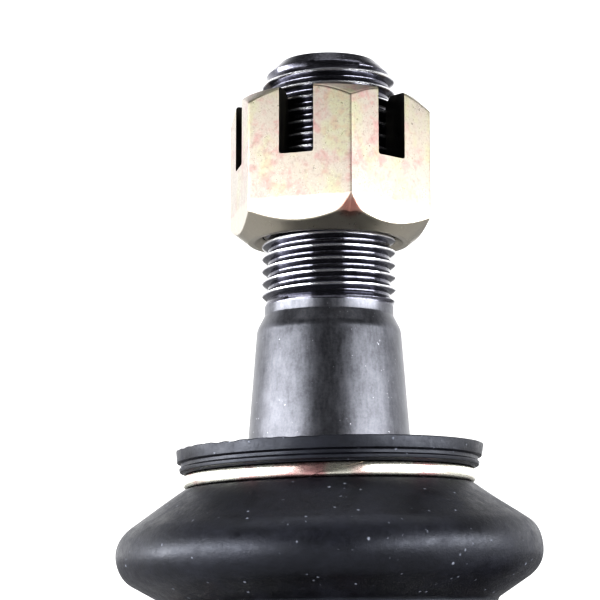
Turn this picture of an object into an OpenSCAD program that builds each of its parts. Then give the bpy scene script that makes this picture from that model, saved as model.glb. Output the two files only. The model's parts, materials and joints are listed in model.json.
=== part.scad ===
// Tie rod end: a tapered ball stud in a greased, sealed socket, with its slotted nut.
// Millimetres. The origin is the ball centre, +Z runs up the stud, and the shank points along +X.

/* [Ball and stud] */
// Diameter of the ball
ball_d = 28; // [26:0.5:34]
// Diameter of the waist between the ball and the boot seat
waist_d = 15; // [12:0.5:16]
// Free height of the waist between the socket's top and the boot seat
waist_gap = 8; // [6.5:0.5:12]
// Height of the plain seat that the boot collar turns on
seat_h = 7; // [6:0.5:10]
// Height of the taper that pulls into the steering arm
taper_h = 16.7; // [12:0.1:22]
// Taper, as the length in which the diameter changes by one
taper_ratio = 6.5; // [6:0.5:10]
// How much wider the taper's small end is than the thread
taper_step = 1.15; // [0.5:0.05:3]
// Height of the cone between the taper and the thread relief
shoulder_h = 1.7; // [1:0.1:3]
// Height of the thread relief
relief_h = 1.1; // [0.6:0.1:3]
// Depth of the thread relief below the crests
relief_depth = 0.3; // [0.2:0.05:0.8]
// Major diameter of the stud thread
stud_thread_d = 16; // [13:0.5:20]
// Length of the stud thread
stud_thread_h = 29.8; // [25:0.1:40]
// Pitch of both threads
pitch = 1.5; // [1:0.25:2]
// Chamfer on the end of the stud
stud_chamfer = 2; // [0.5:0.1:2.5]
// Diameter of the cotter pin hole
cotter_d = 4; // [3:0.1:4.4]
// Width of the flat on the bottom of the ball
ball_flat_d = 10; // [4:0.5:14]

/* [Slotted nut] */
// Width across the flats
nut_af = 22; // [21:0.5:30]
// Height of the nut
nut_h = 16.9; // [13:0.1:20.5]
// Height of the nut's bottom face above the first full thread
nut_rise = 7.75; // [0:0.05:12]
// Width of each slot
slot_w = 4.2; // [3.2:0.1:5.2]
// Depth of the slots
slot_depth = 7.9; // [5:0.1:10]
// How far the top face's edge lies inside the flats
nut_top_in = 0; // [0:0.05:0.4]
// How far the bottom face's edge lies inside the flats
nut_bottom_in = 0.4; // [0:0.05:0.5]
// Angle of the top chamfer from the flat
nut_top_angle = 44; // [20:1:60]
// Angle of the bottom chamfer from the flat
nut_bottom_angle = 56.5; // [20:0.5:65]
// Countersink at each end of the bore
nut_countersink = 0.9; // [0.3:0.1:1.2]
// Turn of the nut, as the direction of one slot
nut_turn = 11.2; // [0:0.1:59.9]

/* [Socket housing] */
// Wall of the socket around the bearings
housing_wall = 4.4; // [3:0.1:8]
// Wall between the upper bearing and the boot's groove
neck_wall = 3.4; // [2:0.1:5]
// Height of the groove that the foot of the boot sits in
groove_h = 3.1; // [2.6:0.1:5]
// Height of the flange that keeps the boot on
flange_h = 1.6; // [1:0.1:3]
// How far the flange stands out from the groove
flange_out = 1; // [0.5:0.1:1.3]
// Drop of the forged shoulder from the groove to the socket's full width
shoulder_drop = 4.3; // [2:0.1:8]
// Depth of the rolled edge that holds the closing plate
roll_h = 2; // [1.2:0.1:3]
// How far the rolled edge reaches in over the closing plate
roll_in = 1.6; // [1:0.1:2.5]
// Chamfer around the bottom edge
foot_chamfer = 1.3; // [0.5:0.1:2]
// Largest tilt of the stud to each side
tilt_max = 22; // [10:1:27]

/* [Shank] */
// From the ball centre to the end of the shank
shank_len = 115; // [95:1:160]
// How much wider the plain shank is than its thread
shank_step = 3; // [1:0.5:5]
// How much wider the shank is again at the ball centre
shank_flare = 1.4; // [0:0.1:2]
// How far the shank's top stays below the boot's groove
shank_clear = 0.115; // [0.1:0.005:2]
// From the ball centre to where the shank becomes parallel
shank_root_len = 46; // [35:1:50]
// Major diameter of the shank thread
shank_thread_d = 22; // [18:0.1:27]
// Length of the shank thread
shank_thread_len = 50; // [30:1:52]
// Width of the groove behind the shank thread
shank_relief_w = 3; // [1.5:0.5:4]
// Width across the spanner flats
spanner_af = 22; // [20:0.5:23]
// Length of the spanner flats
spanner_len = 9; // [6:0.5:10]
// Chamfer on the end of the shank
shank_chamfer = 1.6; // [0.5:0.1:2]

/* [Bearings and closing plate] */
// Wall of the two bearings at the ball's widest
bearing_wall = 3; // [2:0.1:4]
// Wall of the upper bearing at its top
bearing_lip = 1.4; // [1:0.1:2]
// Height of the upper bearing's straight outside
bearing_straight = 2.6; // [1.5:0.1:4]
// How far above the ball's widest the upper bearing reaches
capture_angle = 31.5; // [25:0.5:36]
// Gap between the two bearings
bearing_split = 0.8; // [0.4:0.1:2]
// Floor of the lower bearing under the ball
bearing_floor = 1.5; // [1:0.1:3]
// Diameter of the grease holes in the lower bearing and the pressure plate
grease_hole_d = 6; // [3:0.5:8]
// Thickness of the pressure plate
pressure_plate_h = 1.5; // [1:0.1:3]
// Thickness of the disc spring's sheet
disc_spring_t = 0.9; // [0.6:0.1:1.4]
// Height of the disc spring
disc_spring_h = 1.9; // [1.5:0.1:2.5]
// Ledge that the closing plate is pressed against
plate_ledge = 1; // [0.6:0.1:1.5]
// Thickness of the closing plate
closing_plate_h = 3; // [2.4:0.1:5]
// Thickness of the seal ring's cord
seal_cord_d = 1.5; // [1.2:0.1:1.6]
// Diameter of the boss around the grease nipple
boss_d = 13; // [11:0.5:16]
// Height of that boss
boss_h = 2.5; // [1.5:0.1:4]

/* [Grease nipple] */
// Major diameter of the nipple's thread
nipple_thread_d = 6; // [5:0.5:8]
// Width across the nipple's hexagon
nipple_af = 8; // [7:0.5:10]
// Height of the nipple's hexagon
nipple_hex_h = 3; // [2:0.1:5]
// Largest diameter of the nipple's head
nipple_head_d = 6.5; // [6:0.1:7]
// Height of the nipple below its hexagon
nipple_head_h = 6.8; // [6:0.1:9]
// Diameter of the drilling for the ball and spring
nipple_bore_d = 2.6; // [2.2:0.1:3]
// Diameter of the grease way behind the spring
nipple_way_d = 1.6; // [1.2:0.1:1.8]
// Depth of the mouth that the nipple's ball closes
check_seat_h = 1; // [0.6:0.1:1.5]
// Length of the spring behind the nipple's ball
check_spring_h = 5; // [4:0.1:6]
// Wire of that spring
check_wire_d = 0.3; // [0.2:0.05:0.4]
// Wall of the nipple's cap
cap_wall = 1.2; // [0.8:0.1:2]
// Clearance around the nipple's head inside its cap
cap_gap = 0.15; // [0.1:0.05:0.5]

/* [Dust boot] */
// How far the boot bulges beyond its foot
bulge_out = 5.5; // [3:0.1:9]
// Radius of the bulge, seen in section
bulge_r = 4; // [3:0.1:5]
// How far the bulge lies below the middle of the boot
bulge_sag = 0.85; // [0:0.05:1.5]
// Rubber thickness of the boot
boot_wall = 2; // [1.2:0.1:2.6]
// Thickness of the rubber around the foot
foot_wall = 2.75; // [2:0.05:3.5]
// Steel wall of the boot collar
collar_wall = 1.5; // [1:0.1:2.5]
// Height of the steel collar
collar_h = 4.5; // [3.5:0.1:5.5]
// How far the collar's flange stands out
collar_flange = 2.6; // [1:0.1:3.5]
// Thickness of that flange
collar_flange_h = 0.9; // [0.6:0.1:1.5]
// Rubber between the steel collar and the upper clip ring
neck_rubber = 4.1; // [3:0.1:6]
// Wire of the upper clip ring
upper_wire_d = 1.6; // [1.2:0.1:2]
// Wire of the lower clip ring
lower_wire_d = 1.5; // [1.2:0.1:2]
// Depth of the groove for the lower clip ring
lower_groove_depth = 1; // [0.6:0.1:1.3]
// Gap between the ends of each clip ring
ring_gap = 0.6; // [0.3:0.1:3]
// Height of the flared lip that meets the steering arm
lip_h = 2.8; // [1.5:0.1:5]
// Width of the lip's top edge
lip_edge = 1.1; // [0.6:0.1:2]
// Chamfer around the boot's foot
foot_break = 0.3; // [0.1:0.1:0.6]
// How far the lip's top stands out beyond the clip ring
lip_flare = 0.9; // [0.2:0.1:3]

/* [Clearances] */
// Radial running clearance of turning pieces
running_gap = 0.05; // [0.02:0.01:0.1]
// Clearance between pieces that lie still against each other
seated_gap = 0.05; // [0.02:0.01:0.1]
// Clearance at the ends of the nipple, its cap and its spring
end_gap = 0.4; // [0.2:0.1:0.8]
// Edge breaks on the rubber, and the step between the lip and the groove
rubber_break = 0.1; // [0.05:0.05:0.2]
// Clearance between the tilted stud and the socket's mouth
mouth_gap = 0.4; // [0.3:0.1:1]

/* [Hidden] */
$fn = 96;
past = 1; // how far a cut runs past the face it opens
steps = 16; // points along a rounded outline

// Stud heights and radii, from the ball up
ball_r = ball_d / 2;
waist_r = waist_d / 2;
crown_z = ball_r * sin(capture_angle);
crown_r = ball_r * cos(capture_angle);
socket_top = crown_z + groove_h + flange_h;
seat_z = socket_top + waist_gap;
taper_z = seat_z + seat_h;
shoulder_z = taper_z + taper_h;
relief_z = shoulder_z + shoulder_h;
thread_z = relief_z + relief_h;
stud_top = thread_z + stud_thread_h;
stud_thread_r = stud_thread_d / 2;
relief_r = stud_thread_r - relief_depth;
taper_small_r = stud_thread_r + taper_step / 2;
seat_r = taper_small_r + taper_h / taper_ratio / 2;

// Slotted nut
nut_z = thread_z + nut_rise;
nut_top = nut_z + nut_h;
nut_corner_r = nut_af / 2 / cos(30);
nut_bore_r = stud_thread_r + running_gap;
slot_floor = nut_top - slot_depth;
cotter_z = slot_floor + slot_depth / 2;

// Bearings and the stack under them
seat_sphere_r = ball_r + running_gap;
bearing_r = seat_sphere_r + bearing_wall;
bore_r = bearing_r + running_gap;
socket_r = bore_r + housing_wall;
bearing_crown_r = crown_r + bearing_lip;
cup_z = -seat_sphere_r - bearing_floor;
pressure_z = cup_z - running_gap - pressure_plate_h;
spring_z = pressure_z - disc_spring_h;
plate_z = spring_z - closing_plate_h;
socket_foot = plate_z - roll_h;
counterbore_r = bore_r + plate_ledge;
plate_r = counterbore_r - seated_gap;
boss_z = plate_z - boss_h;

// Socket mouth and groove
neck_r = bearing_crown_r + neck_wall;
flange_r = neck_r + flange_out;
mouth_low_r = crown_r + mouth_gap;
tilt_r = socket_top * tan(tilt_max) + waist_r / cos(tilt_max) + mouth_gap;
mouth_top_r = max(mouth_low_r, tilt_r);

// Boot collar, clip rings and boot, from the stud's seat and the socket's groove
collar_in_r = seat_r + running_gap;
collar_r = collar_in_r + collar_wall;
collar_flange_r = collar_r + collar_flange;
collar_z = taper_z - collar_h;
upper_groove_r = collar_r + neck_rubber;
upper_wire_r = upper_wire_d / 2;
upper_ring_r = upper_groove_r + seated_gap + upper_wire_r;
upper_groove_z = taper_z - rubber_break;
upper_ring_z = upper_groove_z - seated_gap - upper_wire_r;
boot_neck_z = upper_ring_z - seated_gap - upper_wire_r - rubber_break;
boot_neck_r = upper_ring_r + upper_wire_r - seated_gap;
lip_top = upper_groove_z + lip_h;
lip_r = boot_neck_r + lip_flare;
foot_r = neck_r + seated_gap + foot_wall;
foot_z = crown_z + seated_gap;
foot_top = socket_top - seated_gap;
lower_wire_r = lower_wire_d / 2;
lower_ring_r = foot_r - lower_groove_depth + seated_gap + lower_wire_r;
lower_ring_z = foot_z + groove_h / 2;
bulge_c = [foot_r + bulge_out - bulge_r, (foot_top + boot_neck_z) / 2 - bulge_sag];

// Shank
shank_thread_r = shank_thread_d / 2;
shank_r = shank_thread_r + shank_step / 2;
shank_root_r = shank_r + shank_flare / 2;
shank_drop = shank_root_r + shank_clear - crown_z;
shank_thread_x = shank_len - shank_thread_len;
thread_depth = pitch * cos(30) * 5 / 8;
shank_core_r = shank_thread_r - thread_depth - 0.1;
spanner_x = shank_thread_x - shank_relief_w - spanner_len;

// Grease nipple, hanging from the closing plate's boss
nipple_r = nipple_thread_d / 2;
nipple_top = spring_z - end_gap;
nipple_hex_z = boss_z - nipple_hex_h;
nipple_tip = nipple_hex_z - nipple_head_h;
nipple_head_r = nipple_head_d / 2;
nipple_bore_r = nipple_bore_d / 2;
check_ball_r = nipple_bore_r - cap_gap;
check_mouth_r = check_ball_r * 0.8;
check_ball_z = nipple_tip + check_seat_h + sqrt(pow(check_ball_r, 2) - pow(check_mouth_r, 2)) + seated_gap;
check_spring_z = check_ball_z + check_ball_r;

// Points along an arc about c
function arc(c, r, from, to) =
    [for (i = [0:steps]) c + r * [cos(from + (to - from) * i / steps), sin(from + (to - from) * i / steps)]];

// Direction from c to where a straight flank from p touches the circle about it, on the given side
function touch_angle(p, c, r, side) =
    atan2(p[1] - c[1], p[0] - c[0]) + side * acos(r / norm(p - c));

// Outline of a ring-grooved thread, from z0 up to z1: 60 degree flanks between flat crests and roots
function thread_outline(r, z0, z1) = [
    for (i = [0:floor((z1 - z0) / pitch) - 1]) let (z = z0 + i * pitch)
        each [[r, z], [r, z + pitch / 8],
              [r - thread_depth, z + pitch * 7 / 16], [r - thread_depth, z + pitch * 11 / 16]]
];

module revolve(points) {
    rotate_extrude() polygon(points);
}

// A solid disc or cone about Z between two heights
module turned(z0, z1, r0, r1) {
    translate([0, 0, z0]) cylinder(h = z1 - z0, r1 = r0, r2 = r1);
}

module hexagon(af, z0, z1) {
    translate([0, 0, z0]) cylinder(h = z1 - z0, r = af / 2 / cos(30), $fn = 6);
}

// A round wire ring with its ends a little apart at the front
module wire_ring(r, wire_r, z, gap) {
    difference() {
        translate([0, 0, z]) rotate_extrude() translate([r, 0]) circle(r = wire_r, $fn = 32);
        translate([-gap / 2, -r - wire_r - past, z - wire_r - past])
            cube([gap, 2 * wire_r + 2 * past, 2 * wire_r + 2 * past]);
    }
}

module shank_outline() {
    revolve(concat(
        [[0, 0], [shank_root_r, 0], [shank_r, shank_root_len], [shank_r, shank_thread_x - shank_relief_w],
         [shank_core_r, shank_thread_x - shank_relief_w + 1], [shank_core_r, shank_thread_x]],
        [for (p = thread_outline(shank_thread_r, shank_thread_x + 1, shank_len - shank_chamfer)) p],
        [[shank_thread_r, shank_len - shank_chamfer], [shank_thread_r - shank_chamfer, shank_len],
         [0, shank_len]]
    ));
}

// The shank on its own axis, with two flats for a spanner
module shank() {
    translate([0, 0, -shank_drop]) difference() {
        rotate([0, 90, 0]) shank_outline();
        for (side = [-1, 1])
            translate([spanner_x, side * (spanner_af / 2 + shank_r) - shank_r, -shank_r - past])
                cube([spanner_len, 2 * shank_r, 2 * shank_r + 2 * past]);
    }
}

module socket_outside() {
    revolve([
        [0, socket_foot], [socket_r - foot_chamfer, socket_foot], [socket_r, socket_foot + foot_chamfer],
        [socket_r, crown_z - shoulder_drop], [foot_r + 0.2, crown_z], [neck_r, crown_z],
        [neck_r, crown_z + groove_h], [flange_r, crown_z + groove_h], [flange_r, socket_top - 0.5],
        [flange_r - 0.5, socket_top], [0, socket_top]
    ]);
}

module socket_housing() {
    color("#2e2e31") difference() {
        union() {
            socket_outside();
            shank();
        }
        turned(crown_z - past, socket_top + past, mouth_low_r, mouth_top_r);
        turned(bearing_straight, crown_z, bore_r, bearing_crown_r + seated_gap);
        turned(spring_z, bearing_straight, bore_r, bore_r);
        turned(plate_z, spring_z, counterbore_r, counterbore_r);
        turned(socket_foot - past, plate_z, counterbore_r - roll_in, counterbore_r - roll_in);
    }
}

module upper_bearing() {
    color("#d9d3c3") difference() {
        union() {
            turned(bearing_split / 2, bearing_straight, bearing_r, bearing_r);
            turned(bearing_straight, crown_z - seated_gap, bearing_r, bearing_crown_r);
        }
        sphere(r = seat_sphere_r);
    }
}

module lower_bearing() {
    color("#d9d3c3") difference() {
        turned(cup_z, -bearing_split / 2, bearing_r, bearing_r);
        sphere(r = seat_sphere_r);
        turned(cup_z - past, 0, grease_hole_d / 2, grease_hole_d / 2);
    }
}

module pressure_plate() {
    color("#9a9da1") difference() {
        turned(pressure_z, pressure_z + pressure_plate_h, bearing_r - 1, bearing_r - 1);
        turned(pressure_z - past, 0, grease_hole_d / 2, grease_hole_d / 2);
    }
}

// A shallow dished washer that pushes the bearings together
module preload_spring() {
    rise = disc_spring_h - disc_spring_t;
    color("#5a5e66") revolve([
        [nipple_r + 2, spring_z + rise], [nipple_r + 2, spring_z + disc_spring_h],
        [bearing_r - 2, spring_z + disc_spring_t], [bearing_r - 2, spring_z]
    ]);
}

module closing_plate() {
    groove_in_r = counterbore_r - seal_cord_d - 0.2;
    groove_z = plate_z + closing_plate_h / 2;
    half_w = seal_cord_d / 2 + seated_gap;
    color("#b9b38f") difference() {
        union() {
            turned(plate_z, spring_z, plate_r, plate_r);
            turned(boss_z, plate_z, boss_d / 2, boss_d / 2);
        }
        difference() {
            turned(groove_z - half_w, groove_z + half_w, plate_r + past, plate_r + past);
            turned(groove_z - half_w - past, groove_z + half_w + past, groove_in_r, groove_in_r);
        }
        turned(boss_z - past, spring_z + past, nipple_r + seated_gap, nipple_r + seated_gap);
    }
}

module plug_seal() {
    color("#1c1c1e") translate([0, 0, plate_z + closing_plate_h / 2]) rotate_extrude()
        translate([counterbore_r - seal_cord_d / 2 - seated_gap, 0]) circle(d = seal_cord_d, $fn = 32);
}

module grease_nipple() {
    head = nipple_head_h;
    tip_r = nipple_head_r - 0.9;
    color("#c9b458") difference() {
        union() {
            turned(boss_z, nipple_top - 0.5, nipple_r, nipple_r);
            turned(nipple_top - 0.5, nipple_top, nipple_r, nipple_r - 0.5);
            intersection() {
                hexagon(nipple_af, nipple_hex_z, boss_z);
                turned(nipple_hex_z, boss_z, nipple_af / 2, nipple_af / 2 + nipple_hex_h);
            }
            revolve([
                [0, nipple_tip], [tip_r, nipple_tip], [nipple_head_r, nipple_tip + head * 0.25],
                [nipple_head_r, nipple_tip + head * 0.37], [nipple_head_r - 1, nipple_tip + head * 0.62],
                [nipple_head_r - 1, nipple_tip + head * 0.84], [nipple_head_r - 0.2, nipple_hex_z],
                [0, nipple_hex_z]
            ]);
        }
        turned(nipple_tip - past, nipple_top + past, nipple_way_d / 2, nipple_way_d / 2);
        turned(nipple_tip - past, nipple_tip + check_seat_h, check_mouth_r, check_mouth_r);
        turned(nipple_tip + check_seat_h, check_spring_z + check_spring_h, nipple_bore_r, nipple_bore_r);
    }
}

module nipple_ball() {
    color("#c8ccd0") translate([0, 0, check_ball_z]) sphere(r = check_ball_r);
}

// A coil of wire about Z: rings of points swept along the helix
module nipple_spring() {
    turns = 7;
    per_turn = 12;
    sides = 6;
    wire_r = check_wire_d / 2;
    coil_r = nipple_bore_r - 0.1 - wire_r;
    low = check_spring_z + wire_r + seated_gap;
    rise = check_spring_h - check_wire_d - 2 * seated_gap;
    last = turns * per_turn;
    points = [
        for (i = [0:last]) let (a = 360 * i / per_turn)
            for (s = [0:sides - 1]) let (b = 360 * s / sides, r = coil_r + wire_r * cos(b))
                [r * cos(a), r * sin(a), low + rise * i / last + wire_r * sin(b)]
    ];
    faces = [
        [for (s = [0:sides - 1]) s],
        for (i = [0:last - 1]) for (s = [0:sides - 1]) let (a = i * sides, t = (s + 1) % sides)
            each [[a + s, a + sides + s, a + sides + t], [a + s, a + sides + t, a + t]],
        [for (s = [sides - 1:-1:0]) last * sides + s]
    ];
    color("#aab0b5") polyhedron(points, faces);
}

module nipple_cap() {
    inner_r = nipple_head_r + cap_gap;
    mouth_z = nipple_hex_z - end_gap;
    roof_z = nipple_tip - end_gap;
    color("#b0271f") difference() {
        union() {
            turned(roof_z - cap_wall, roof_z, inner_r + cap_wall - 0.8, inner_r + cap_wall);
            turned(roof_z, mouth_z, inner_r + cap_wall, inner_r + cap_wall);
        }
        turned(roof_z, mouth_z + past, inner_r, inner_r);
    }
}

module ball_stud() {
    cove_r = seat_r - waist_r;
    color("#26262a") difference() {
        union() {
            difference() {
                sphere(r = ball_r);
                translate([0, 0, -ball_r - sqrt(pow(ball_r, 2) - pow(ball_flat_d / 2, 2))])
                    cylinder(h = ball_r, r = ball_r);
            }
            revolve(concat(
                [[0, 0], [waist_r, 0]],
                arc([seat_r, seat_z - cove_r], cove_r, 180, 90),
                [[seat_r, taper_z], [taper_small_r, shoulder_z], [relief_r, relief_z], [relief_r, thread_z]],
                thread_outline(stud_thread_r, thread_z + 0.1, stud_top - stud_chamfer),
                [[stud_thread_r, stud_top - stud_chamfer], [stud_thread_r - stud_chamfer, stud_top],
                 [0, stud_top]]
            ));
        }
        translate([0, 0, cotter_z]) rotate([0, 90, nut_turn])
            cylinder(h = stud_thread_d + 2 * past, d = cotter_d, center = true);
    }
}

module castle_nut() {
    bottom_r = nut_af / 2 - nut_bottom_in;
    top_r = nut_af / 2 - nut_top_in;
    bottom_rise = (nut_corner_r - bottom_r) * tan(nut_bottom_angle);
    top_rise = (nut_corner_r - top_r) * tan(nut_top_angle);
    sink_r = nut_bore_r + nut_countersink;
    color("#cfc08e") difference() {
        intersection() {
            rotate([0, 0, nut_turn + 30]) hexagon(nut_af, nut_z, nut_top);
            revolve([
                [0, nut_z], [bottom_r, nut_z], [nut_corner_r, nut_z + bottom_rise],
                [nut_corner_r, nut_top - top_rise], [top_r, nut_top], [0, nut_top]
            ]);
        }
        turned(nut_z - past, nut_top + past, nut_bore_r, nut_bore_r);
        turned(nut_z - past, nut_z + nut_countersink, sink_r + past, nut_bore_r);
        turned(nut_top - nut_countersink, nut_top + past, nut_bore_r, sink_r + past);
        for (turn = [0:60:120])
            translate([0, 0, slot_floor]) rotate([0, 0, nut_turn + turn])
                translate([-nut_corner_r - past, -slot_w / 2, 0])
                    cube([2 * nut_corner_r + 2 * past, slot_w, slot_depth + past]);
    }
}

// One rubber piece: lip, groove for the upper ring, hollow bulge and foot
module dust_boot() {
    neck = [boot_neck_r, boot_neck_z];
    foot = [foot_r, foot_top];
    inner_r = bulge_r - boot_wall;
    roof = [collar_flange_r + 0.1, collar_z + collar_flange_h + seated_gap];
    flange_room_r = flange_r + 2 * seated_gap;
    inner_foot = [flange_room_r, foot_top + foot_break * 3];
    seal_r = seat_r - rubber_break;
    seal_h = lip_h / 2;
    step_z = boot_neck_z + rubber_break;
    groove_low = lower_ring_z - lower_wire_r - seated_gap;
    groove_high = lower_ring_z + lower_wire_r + seated_gap;
    color("#1b1b1d") revolve(concat(
        [[lip_r, lip_top], [boot_neck_r + rubber_break, upper_groove_z],
         [upper_groove_r, upper_groove_z], [upper_groove_r, step_z], [boot_neck_r - rubber_break, step_z]],
        [neck],
        arc(bulge_c, bulge_r, touch_angle(neck, bulge_c, bulge_r, -1),
            touch_angle(foot, bulge_c, bulge_r, 1)),
        [foot, [foot_r, groove_high], [foot_r - lower_groove_depth, groove_high],
         [foot_r - lower_groove_depth, groove_low], [foot_r, groove_low], [foot_r, foot_z + foot_break],
         [foot_r - foot_break, foot_z], [neck_r + seated_gap, foot_z],
         [neck_r + seated_gap, crown_z + groove_h - seated_gap],
         [flange_room_r, crown_z + groove_h - seated_gap]],
        [inner_foot],
        arc(bulge_c, inner_r, touch_angle(inner_foot, bulge_c, inner_r, 1),
            touch_angle(roof, bulge_c, inner_r, -1)),
        [roof, [collar_r + seated_gap, collar_z + collar_flange_h + seated_gap],
         [collar_r + seated_gap, taper_z + seated_gap], [seat_r + running_gap, taper_z + seated_gap],
         [seal_r + running_gap, taper_z + seal_h], [collar_r, taper_z + seal_h - rubber_break],
         [collar_r + boot_wall, taper_z + seal_h / 2], [lip_r - lip_edge, lip_top - rubber_break]]
    ));
}

module boot_collar() {
    color("#8d9094") revolve([
        [collar_in_r, collar_z], [collar_flange_r, collar_z], [collar_flange_r, collar_z + collar_flange_h],
        [collar_r, collar_z + collar_flange_h], [collar_r, taper_z], [collar_in_r, taper_z]
    ]);
}

module upper_clip_ring() {
    color("#d8c98f") wire_ring(upper_ring_r, upper_wire_r, upper_ring_z, ring_gap);
}

module lower_clip_ring() {
    color("#d8c98f") wire_ring(lower_ring_r, lower_wire_r, lower_ring_z, ring_gap);
}

socket_housing();
upper_bearing();
lower_bearing();
pressure_plate();
preload_spring();
closing_plate();
plug_seal();
grease_nipple();
nipple_ball();
nipple_spring();
nipple_cap();
ball_stud();
castle_nut();
dust_boot();
boot_collar();
upper_clip_ring();
lower_clip_ring();
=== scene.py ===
import json
import math
import random

import bmesh
import bpy
from mathutils import Euler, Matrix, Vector


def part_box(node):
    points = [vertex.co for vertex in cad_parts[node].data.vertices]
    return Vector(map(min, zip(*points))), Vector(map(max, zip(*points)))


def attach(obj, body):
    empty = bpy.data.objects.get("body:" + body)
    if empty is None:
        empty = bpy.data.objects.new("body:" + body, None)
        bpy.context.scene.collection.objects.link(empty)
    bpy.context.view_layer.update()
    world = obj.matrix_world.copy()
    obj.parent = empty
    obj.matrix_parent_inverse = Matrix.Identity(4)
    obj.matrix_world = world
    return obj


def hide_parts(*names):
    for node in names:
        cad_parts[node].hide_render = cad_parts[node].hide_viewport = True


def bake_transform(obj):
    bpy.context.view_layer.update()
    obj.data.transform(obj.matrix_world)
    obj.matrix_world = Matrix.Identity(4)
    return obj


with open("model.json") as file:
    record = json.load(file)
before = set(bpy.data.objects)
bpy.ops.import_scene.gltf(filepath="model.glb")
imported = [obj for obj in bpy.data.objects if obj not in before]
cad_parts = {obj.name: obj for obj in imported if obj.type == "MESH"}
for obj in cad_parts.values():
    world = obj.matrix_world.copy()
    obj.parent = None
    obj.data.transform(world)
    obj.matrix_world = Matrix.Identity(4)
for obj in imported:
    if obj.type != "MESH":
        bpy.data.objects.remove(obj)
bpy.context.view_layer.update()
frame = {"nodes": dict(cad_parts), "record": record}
print("frame loaded")

mm = 0.001
tau = 2 * math.pi
shankDrop = 6.0  # the shank's axis lies this far below the ball's centre, in millimetres


# places and sizes that the frame gives, in millimetres
def span(node):
    low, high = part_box(node)
    return low / mm, high / mm


studLow, studHigh = span("ball_stud")
nutLow, nutHigh = span("castle_nut")
ringLow, ringHigh = span("upper_clip_ring")
footRingLow, footRingHigh = span("lower_clip_ring")
bootLow, bootHigh = span("dust_boot")
collarLow, collarHigh = span("boot_collar")
housingLow, housingHigh = span("socket_housing")
nippleLow, nippleHigh = span("grease_nipple")
capLow, capHigh = span("nipple_cap")
plateLow, plateHigh = span("closing_plate")
springLow, springHigh = span("nipple_spring")


# shader arithmetic
class Wire:  # an output socket that can stand in an expression
    def __init__(self, tree, socket):
        self.tree = tree
        self.socket = socket

    def math(self, operation, first, second):
        return self.tree.node("ShaderNodeMath", {"operation": operation}, {0: first, 1: second})

    def __add__(self, other):
        return self.math("ADD", self, other)

    def __radd__(self, other):
        return self.math("ADD", other, self)

    def __sub__(self, other):
        return self.math("SUBTRACT", self, other)

    def __rsub__(self, other):
        return self.math("SUBTRACT", other, self)

    def __mul__(self, other):
        return self.math("MULTIPLY", self, other)

    def __rmul__(self, other):
        return self.math("MULTIPLY", other, self)

    def __pow__(self, other):
        return self.math("POWER", self, other)

    def clamp(self):
        return self.tree.node("ShaderNodeClamp", {}, {0: self})


class Tree:  # the nodes of a material or of the world, and the coordinates they start from
    def __init__(self, nodeTree, coordinates):
        self.nodes = nodeTree.nodes
        self.links = nodeTree.links
        self.place = self.node("ShaderNodeTexCoord", output=coordinates)

    def put(self, socket, value):
        if isinstance(value, Wire):
            self.links.new(value.socket, socket)
        elif hasattr(value, "__len__") and len(value) < len(socket.default_value):
            socket.default_value = (*value, 1)  # a colour given without its alpha
        else:
            socket.default_value = value

    # any node: its type, its settings, then the values or links of its sockets
    def node(self, kind, settings=None, values=None, output=0):
        made = self.nodes.new(kind)
        for key, value in (settings or {}).items():
            setattr(made, key, value)
        for key, value in (values or {}).items():
            self.put(made.inputs[key], value)
        return None if output is None else Wire(self, made.outputs[output])

    # noise and cells take the size of their pattern in millimetres
    def noise(self, size, detail, roughness=0.55, at=None, distortion=0):
        values = {"Vector": at or self.place, "Scale": 1 / (size * mm), "Detail": detail,
                  "Roughness": roughness, "Distortion": distortion}
        return self.node("ShaderNodeTexNoise", {}, values)

    def cells(self, size):
        return self.node("ShaderNodeTexVoronoi", {}, {"Vector": self.place, "Scale": 1 / (size * mm)})

    def stretched(self, x, y, z):
        return self.node("ShaderNodeVectorMath", {"operation": "MULTIPLY"}, {0: self.place, 1: (x, y, z)})

    def ramp(self, factor, low, high):
        return self.node("ShaderNodeMapRange", {"interpolation_type": "SMOOTHSTEP"},
                         {"Value": factor, "From Min": low, "From Max": high})

    def mix(self, factor, first, second):
        return self.node("ShaderNodeMix", {"data_type": "RGBA"}, {0: factor, 6: first, 7: second}, output=2)

    def axes(self):  # x, y and z of the place, each on its own
        outputs = self.node("ShaderNodeSeparateXYZ", {}, {0: self.place}).socket.node.outputs
        return [Wire(self, socket) for socket in outputs]


class Finish(Tree):  # one material
    def __init__(self, name, **fixed):
        self.material = bpy.data.materials.new(name)
        self.material.use_nodes = True
        super().__init__(self.material.node_tree, "Object")
        self.shade(**fixed)

    def shade(self, **values):
        shader = self.nodes["Principled BSDF"]
        for name, value in values.items():
            self.put(shader.inputs[name.replace("_", " ")], value)

    # colour, roughness and a bump, whose depth is in millimetres
    def finish(self, base, rough, height, depth, strength):
        bump = {"Height": height, "Distance": depth * mm, "Strength": strength}
        self.shade(Base_Color=base, Roughness=rough.clamp(), Normal=self.node("ShaderNodeBump", {}, bump))
        return self.material


# finishes; each dictionary holds what changes its look
blackOxide = {"dark": (0.085, 0.087, 0.098), "light": (0.178, 0.182, 0.203), "speck": (0.6, 0.61, 0.66),
              "speckSize": 0.55, "roughness": 0.36, "turningMarks": 0.16}


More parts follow.
